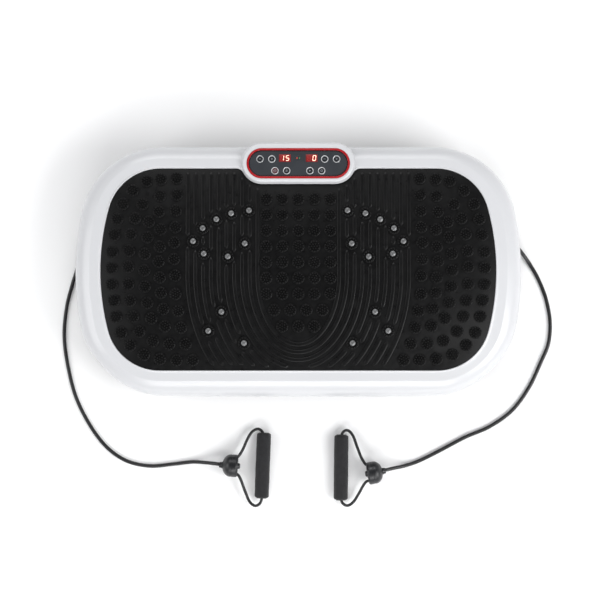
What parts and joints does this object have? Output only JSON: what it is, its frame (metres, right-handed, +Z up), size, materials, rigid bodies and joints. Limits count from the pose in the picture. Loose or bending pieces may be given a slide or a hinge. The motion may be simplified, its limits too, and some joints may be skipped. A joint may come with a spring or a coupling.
{
  "type": "vibration plate",
  "caption": "Slim oscillating vibration plate: white shell, textured black mat, rear console pod, rocking deck on a motor-driven crank, and resistance cords with foam grips.",
  "frame": {"origin": "on the floor under the middle of the plate, midway between its sides and between its front and the back of its console pod", "axes": "+X to the right across the plate as a user facing the console sees it, +Y from the front to the console, +Z up"},
  "size_m": [0.861, 0.6249, 0.1404],
  "materials": {
    "shell_white": "gloss moulded ABS",
    "mat_rubber": "matt moulded rubber",
    "stud_steel": "polished",
    "board": "raw fibreboard",
    "frame_black": "satin powder coat",
    "shaft_steel": "ground",
    "panel_dark": "printed film, satin",
    "ring_red": "gloss",
    "window_red": "tinted window",
    "display_black": "potted LED display",
    "led_lens": "diffused",
    "ring_silver": "satin silver",
    "circuit_board": "solder mask",
    "switch_black": "moulded",
    "button_dark": "satin",
    "case_charcoal": "fine moulded texture",
    "foot_rubber": "soft matt",
    "bolt_steel": "zinc plated",
    "block_cast": "cast and machined",
    "bearing_steel": "ground",
    "motor_grey": "satin",
    "belt_rubber": "moulded",
    "core_iron": "varnished laminations",
    "inlet_black": "moulded",
    "pin_brass": "plated",
    "rocker_red": "translucent gloss",
    "wire_red": "insulation",
    "pulley_black": "glass filled nylon",
    "rod_alloy": "machined",
    "cord_rubber": "smooth latex",
    "stopper_plastic": "satin moulded",
    "core_plastic": "moulded",
    "foam_black": "closed-cell foam"
  },
  "bodies": {
    "base": {"bottom_case": "case_charcoal", "chassis_plate": "frame_black", "suction_feet": "foot_rubber", "foot_bolts": "bolt_steel", "pillow_blocks": "block_cast", "pivot_bearings": "bearing_steel", "crank_blocks": "block_cast", "crank_bearings": "bearing_steel", "motor_body": "motor_grey", "motor_bracket": "frame_black", "drive_belt": "belt_rubber", "controller_board": "circuit_board", "transformer": "core_iron", "power_inlet": "inlet_black", "rocker_frame": "inlet_black", "rubber_bumpers": "foot_rubber", "inlet_pins": "pin_brass", "wiring": "wire_red", "cord_anchors": "case_charcoal", "base_screws": "bolt_steel", "left_cord": "cord_rubber", "right_cord": "cord_rubber", "left_loop": "cord_rubber", "right_loop": "cord_rubber", "cord_stoppers": "stopper_plastic"},
    "platform": {"top_cover": "shell_white", "rubber_mat": "mat_rubber", "magnet_studs": "stud_steel", "deck_board": "board", "platform_frame": "frame_black", "pivot_shaft": "shaft_steel", "link_pin": "shaft_steel", "console_panel": "panel_dark", "trim_ring": "ring_red", "display_lenses": "window_red", "digit_displays": "display_black", "status_leds": "led_lens", "button_rings": "ring_silver", "console_board": "circuit_board", "tact_switches": "switch_black", "platform_fasteners": "bolt_steel"},
    "time_down_key": {"time_down_button": "button_dark"},
    "time_up_key": {"time_up_button": "button_dark"},
    "speed_down_key": {"speed_down_button": "button_dark"},
    "speed_up_key": {"speed_up_button": "button_dark"},
    "power_key": {"power_button": "button_dark"},
    "mode_key": {"mode_button": "button_dark"},
    "manual_key": {"manual_button": "button_dark"},
    "auto_key": {"auto_button": "button_dark"},
    "rocker_paddle": {"power_rocker": "rocker_red"},
    "crank": {"crank_shaft": "shaft_steel", "driven_pulley": "pulley_black"},
    "link": {"connecting_rod": "rod_alloy", "link_bearing": "bearing_steel"},
    "rotor": {"motor_shaft": "shaft_steel", "motor_pulley": "pulley_black"},
    "left_grip": {"left_grip_core": "core_plastic", "left_grip_foam": "foam_black"},
    "right_grip": {"right_grip_core": "core_plastic", "right_grip_foam": "foam_black"}
  },
  "joints": [
    {"name": "platform_rock", "type": "hinge", "parent": "base", "child": "platform", "pos_m": [0, 0, 0.088], "axis": [0, 1, 0], "range_deg": [-1.5, 1.5]},
    {"name": "crank_spin", "type": "hinge", "parent": "base", "child": "crank", "pos_m": [0.11, 0, 0.05], "axis": [0, 1, 0], "continuous": true},
    {"name": "motor_spin", "type": "hinge", "parent": "base", "child": "rotor", "pos_m": [0.215, 0, 0.058], "axis": [0, 1, 0], "continuous": true},
    {"name": "link_swing", "type": "hinge", "parent": "crank", "child": "link", "pos_m": [0.1129, 0, 0.05], "axis": [0, 1, 0], "continuous": true},
    {"name": "time_down_press", "type": "slide", "parent": "platform", "child": "time_down_key", "axis": [0, 0, -1], "range_m": [0, 0.0008], "stiffness_N_per_m": 500, "springref_m": -0.001},
    {"name": "time_up_press", "type": "slide", "parent": "platform", "child": "time_up_key", "axis": [0, 0, -1], "range_m": [0, 0.0008], "stiffness_N_per_m": 500, "springref_m": -0.001},
    {"name": "speed_down_press", "type": "slide", "parent": "platform", "child": "speed_down_key", "axis": [0, 0, -1], "range_m": [0, 0.0008], "stiffness_N_per_m": 500, "springref_m": -0.001},
    {"name": "speed_up_press", "type": "slide", "parent": "platform", "child": "speed_up_key", "axis": [0, 0, -1], "range_m": [0, 0.0008], "stiffness_N_per_m": 500, "springref_m": -0.001},
    {"name": "power_press", "type": "slide", "parent": "platform", "child": "power_key", "axis": [0, 0, -1], "range_m": [0, 0.0008], "stiffness_N_per_m": 500, "springref_m": -0.001},
    {"name": "mode_press", "type": "slide", "parent": "platform", "child": "mode_key", "axis": [0, 0, -1], "range_m": [0, 0.0008], "stiffness_N_per_m": 500, "springref_m": -0.001},
    {"name": "manual_press", "type": "slide", "parent": "platform", "child": "manual_key", "axis": [0, 0, -1], "range_m": [0, 0.0008], "stiffness_N_per_m": 500, "springref_m": -0.001},
    {"name": "auto_press", "type": "slide", "parent": "platform", "child": "auto_key", "axis": [0, 0, -1], "range_m": [0, 0.0008], "stiffness_N_per_m": 500, "springref_m": -0.001},
    {"name": "rocker_tilt", "type": "hinge", "parent": "base", "child": "rocker_paddle", "pos_m": [-0.115, 0.177, 0.038], "axis": [1, 0, 0], "range_deg": [0, 18]},
    {"name": "left_grip_spin", "type": "hinge", "parent": "base", "child": "left_grip", "pos_m": [-0.062, -0.3345, 0.013], "axis": [0.0366, 0.9993, 0], "continuous": true},
    {"name": "right_grip_spin", "type": "hinge", "parent": "base", "child": "right_grip", "pos_m": [0.0746, -0.338, 0.013], "axis": [0.0122, 0.9999, 0], "continuous": true}
  ],
  "couplings": [
    {"joint": "motor_spin", "follows": "crank_spin", "ratio": 3},
    {"joint": "link_swing", "follows": "crank_spin", "ratio": -1}
  ]
}
